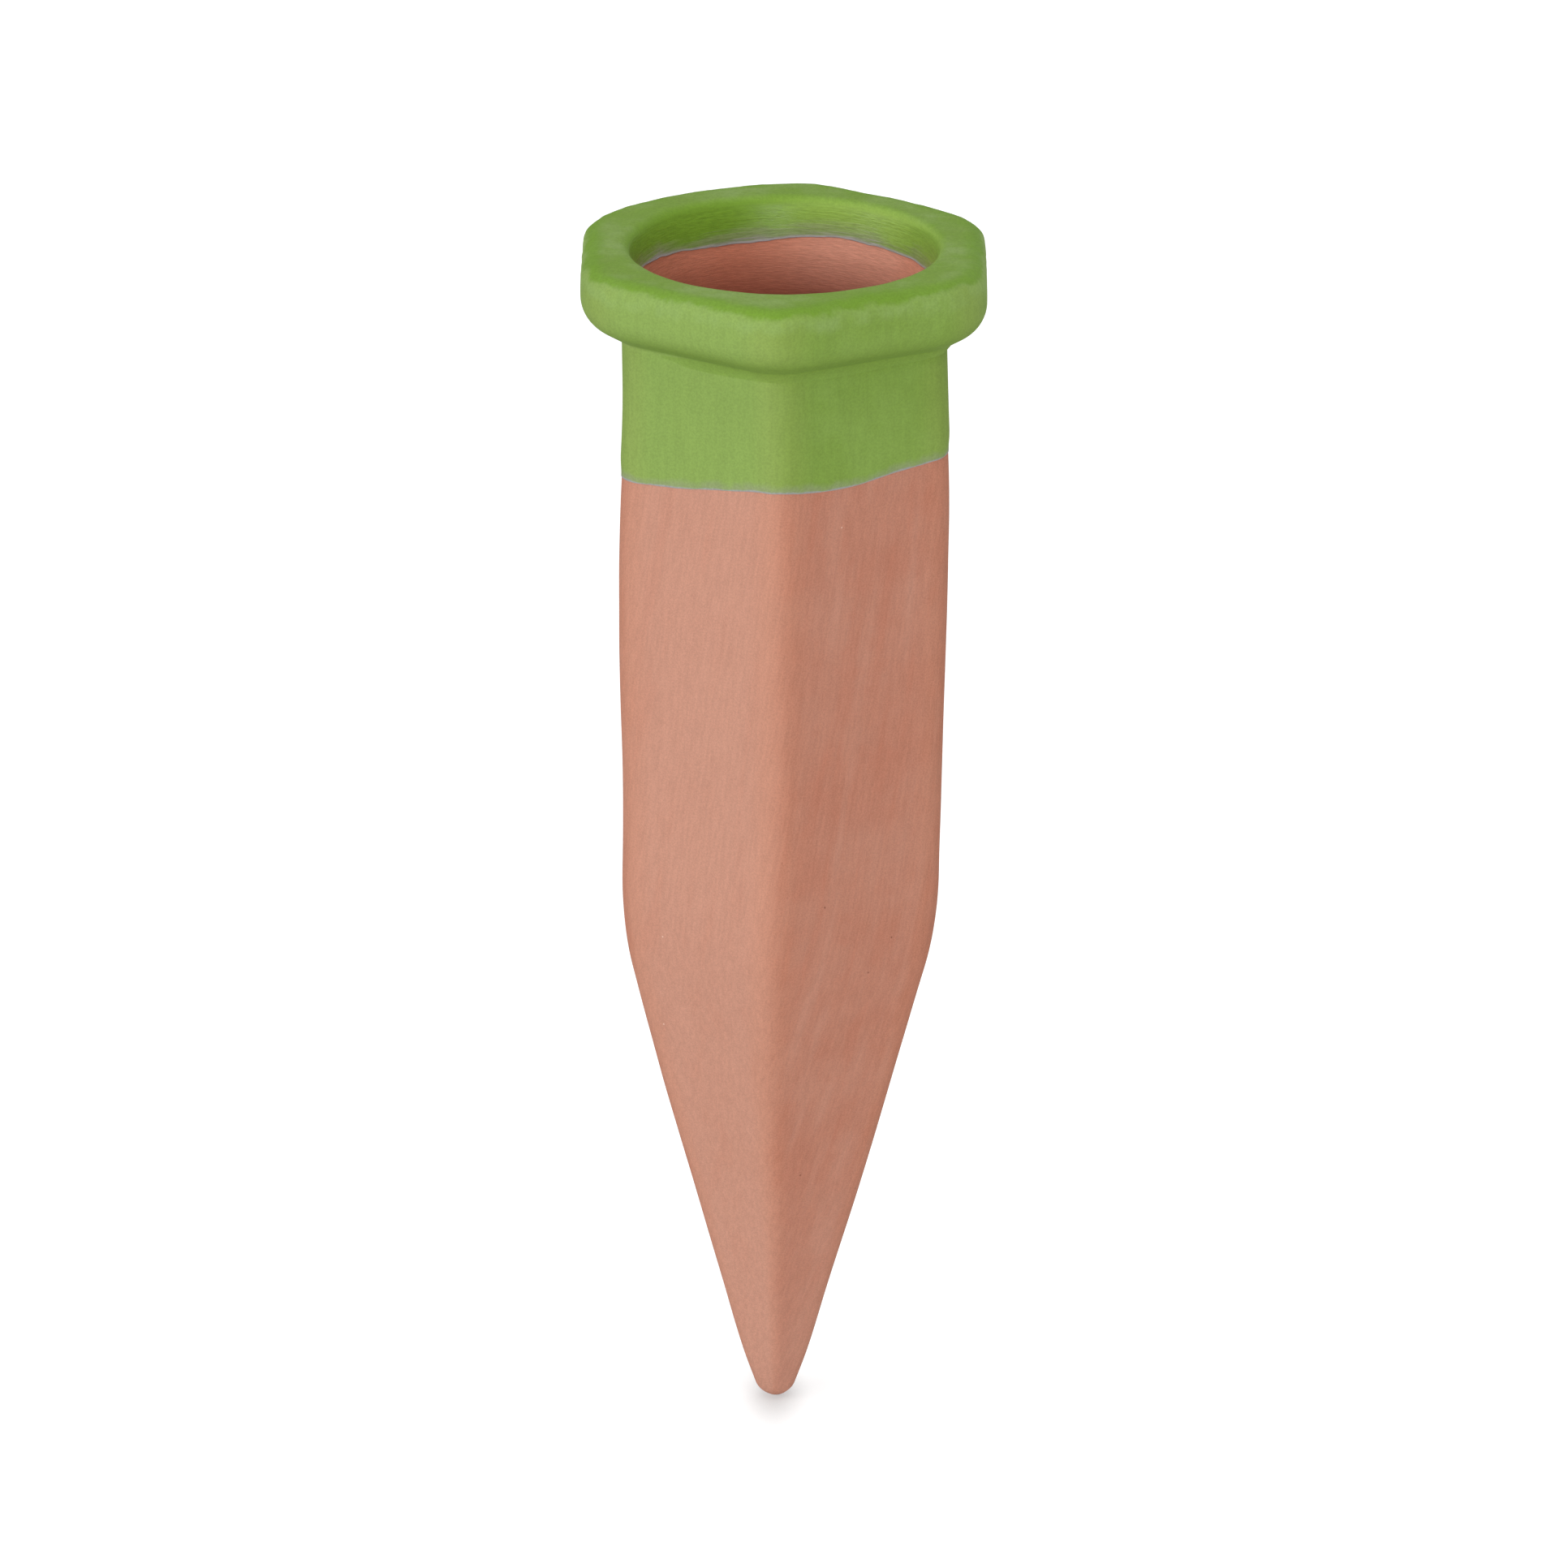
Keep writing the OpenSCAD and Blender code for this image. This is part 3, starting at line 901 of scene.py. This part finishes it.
def green_slip():
    g = Graph("green_slip")
    t = slip_textures(g)
    dragged = g.plus(g.span(t.drag, 0.3, 0.7, -0.03, 0.03), g.span(t.grain, 0.25, 0.75, -0.08, 0.08))
    ringed = g.plus(g.span(t.rings, 0.3, 0.7, -0.05, 0.05), g.span(t.granular, 0.3, 0.7, -0.1, 0.1))
    colour = slip_fringes(g, t, slip_zones(g, t))
    colour = g.shaded(colour, g.either(t.well_side, dragged, ringed))

    fine = g.plus(g.times(t.grain, 0.5), g.times(t.drag, 0.4))
    coarse = g.plus(t.granular, g.times(t.rings, 0.8))
    roughness = g.span(t.well_side, 0, 1, 0.85, 0.34)
    relief = g.either(t.well_side, fine, coarse)
    return g.surface(colour, roughness, relief, bump=0.5, specular=0.24)


# A shadow painted on the floor in front of the tip, as the camera sees it: a spot where the floor's
# glow dims
PAINTED_SHADOW_SHAPE = (1, 0.37, 1)  # squeezing y makes the spot longer towards the camera
PAINTED_SHADOW_SHIFT = (0.2 * MM, 0.2 * MM, 0)
PAINTED_SHADOW_REACH = 3.1 * MM
PAINTED_SHADOW_DEPTH = 0.265
# Shade is also painted into the floor's glow by ambient occlusion within this distance of the spike
NEARNESS = 5 * MM  # how near the spike has to be to dim the floor by occlusion
WHITE = (1, 1, 1, 1)
FLOOR_LIT = (0.9, 0.9, 0.9, 1)
FLOOR_SEEN = (0.4, 0.4, 0.4, 1)


def floor_material():
    """White. To the camera part of that white is its own glow, into which shade is painted: it dims by
    ambient occlusion where the spike is near, and further in a painted shadow spot in front of the
    tip.
    """
    g = Graph("studio_floor")
    g.tree.nodes.remove(g.shader)
    # Painted shadow: the glow dims with occlusion by the spike and in a spot in front of the tip
    open_sky = g.node("AmbientOcclusion", {"samples": 4}, Distance=NEARNESS).outputs["AO"]
    squeezed = g.coordinates(scale=PAINTED_SHADOW_SHAPE)
    from_painted_shadow = g.node("VectorMath", {"operation": "ADD"}, _0=squeezed, _1=PAINTED_SHADOW_SHIFT).outputs[0]
    away = g.node("VectorMath", {"operation": "LENGTH"}, _0=from_painted_shadow).outputs["Value"]
    outside_painted_shadow = g.span(away, 0, PAINTED_SHADOW_REACH, 0, PAINTED_SHADOW_DEPTH)
    glow_level = g.plus(g.span(open_sky, 0.5, 0.95, 0.42, 0.54), outside_painted_shadow)

    camera = g.node("LightPath").outputs["Is Camera Ray"]
    lit = g.node("BsdfDiffuse", Color=FLOOR_LIT)
    shadowed = g.node("BsdfDiffuse", Color=FLOOR_SEEN)
    glow = g.node("Emission", Color=WHITE, Strength=glow_level)
    seen = g.node("AddShader", _0=shadowed.outputs[0], _1=glow.outputs[0])
    both = g.node("MixShader", _0=camera, _1=lit.outputs[0], _2=seen.outputs[0])
    g.plug(g.tree.nodes["Material Output"].inputs["Surface"], both.outputs[0])
    return g.material


# ---------------------------------------------------------------- studio

CAMERA_DISTANCE = 600.0
CAMERA_ELEVATION = math.radians(21.8785)
CAMERA_AIM = (0.229, 0.0, 51.68)
CAMERA_ROLL = math.radians(0.32)
FOCAL_LENGTH = 180.56
SENSOR_WIDTH = 36
LAMPS_AIM = (0, 0, 0.05)  # metres, as are the lamps' sizes and distance and the floor's half width
LAMP_DISTANCE = 1.8
FLOOR_HALF = 4.0


def make_camera():
    data = bpy.data.cameras.new("camera")
    data.sensor_width = SENSOR_WIDTH
    data.lens = FOCAL_LENGTH
    data.clip_start, data.clip_end = 0.01, 20
    camera = bpy.data.objects.new("camera", data)
    back = Vector((0, -math.cos(CAMERA_ELEVATION), math.sin(CAMERA_ELEVATION)))
    camera.location = (Vector(CAMERA_AIM) + back * CAMERA_DISTANCE) * MM
    camera.rotation_mode = "QUATERNION"
    camera.rotation_quaternion = (-back).to_track_quat("-Z", "Y") @ Quaternion((0, 0, 1), CAMERA_ROLL)
    bpy.context.scene.collection.objects.link(camera)
    bpy.context.scene.camera = camera


def soft_lamp(name, towards, size, level):
    """A square lamp that gives a white surface which faces it about this level of light.

    At a given distance the level takes the same power whatever the lamp's size.
    """
    data = bpy.data.lights.new(name, "AREA")
    data.shape = "SQUARE"
    data.size = size
    data.energy = level * math.pi ** 2 * LAMP_DISTANCE ** 2
    lamp = bpy.data.objects.new(name, data)
    direction = Vector(towards).normalized()
    lamp.location = Vector(LAMPS_AIM) + direction * LAMP_DISTANCE
    lamp.rotation_mode = "QUATERNION"
    lamp.rotation_quaternion = direction.to_track_quat("Z", "Y")
    bpy.context.scene.collection.objects.link(lamp)


def make_world(level, towards, slope):
    """A white tent, brighter in one direction. The camera sees it plain white."""
    world = bpy.data.worlds.new("studio")
    bpy.context.scene.world = world
    world.use_nodes = True
    nodes, links = world.node_tree.nodes, world.node_tree.links
    path = nodes.new("ShaderNodeLightPath")
    place = nodes.new("ShaderNodeTexCoord")
    facing = nodes.new("ShaderNodeVectorMath")
    facing.operation = "DOT_PRODUCT"
    facing.inputs[1].default_value = Vector(towards).normalized()
    links.new(place.outputs["Generated"], facing.inputs[0])
    strength = nodes.new("ShaderNodeMath")
    strength.operation = "MULTIPLY_ADD"
    strength.inputs[1].default_value = level * slope
    strength.inputs[2].default_value = level
    links.new(facing.outputs["Value"], strength.inputs[0])
    tent, white = nodes["Background"], nodes.new("ShaderNodeBackground")
    tent.inputs["Color"].default_value = WHITE
    white.inputs["Color"].default_value = WHITE
    links.new(strength.outputs[0], tent.inputs["Strength"])
    both = nodes.new("ShaderNodeMixShader")
    links.new(path.outputs["Is Camera Ray"], both.inputs[0])
    links.new(tent.outputs[0], both.inputs[1])
    links.new(white.outputs[0], both.inputs[2])
    links.new(both.outputs[0], nodes["World Output"].inputs["Surface"])


def make_floor():
    half = FLOOR_HALF
    corners = [(-half, -half, 0), (half, -half, 0), (half, half, 0), (-half, half, 0)]
    mesh = bpy.data.meshes.new("floor")
    mesh.from_pydata(corners, [], [(0, 1, 2, 3)])
    floor = bpy.data.objects.new("floor", mesh)
    mesh.materials.append(floor_material())
    bpy.context.scene.collection.objects.link(floor)


def make_spike():
    profile = Profile()
    clay = clay_mesh(profile)
    clay.data.materials.append(terracotta())
    coat = coat_mesh(profile)
    coat.data.materials.append(green_slip())
    for piece, node, slot in ((clay, "clay_body", "terracotta"), (coat, "green_coat", "green_slip")):
        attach(piece, "root")
        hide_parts(node)


make_spike()
make_floor()
make_camera()
soft_lamp("left_lamp", (-0.93, -0.33, 0.37), size=0.7, level=0.3)
soft_lamp("front_lamp", (0.12, -0.96, 0.22), size=0.6, level=0.36)
soft_lamp("top_lamp", (0.0, -0.15, 1.0), size=1.4, level=0.44)
soft_lamp("back_lamp", (0.45, 0.85, 0.3), size=1.2, level=0.22)
make_world(level=0.33, towards=(-0.9, -0.3, 0.0), slope=0.2)

bpy.context.scene.view_settings.view_transform = "Standard"
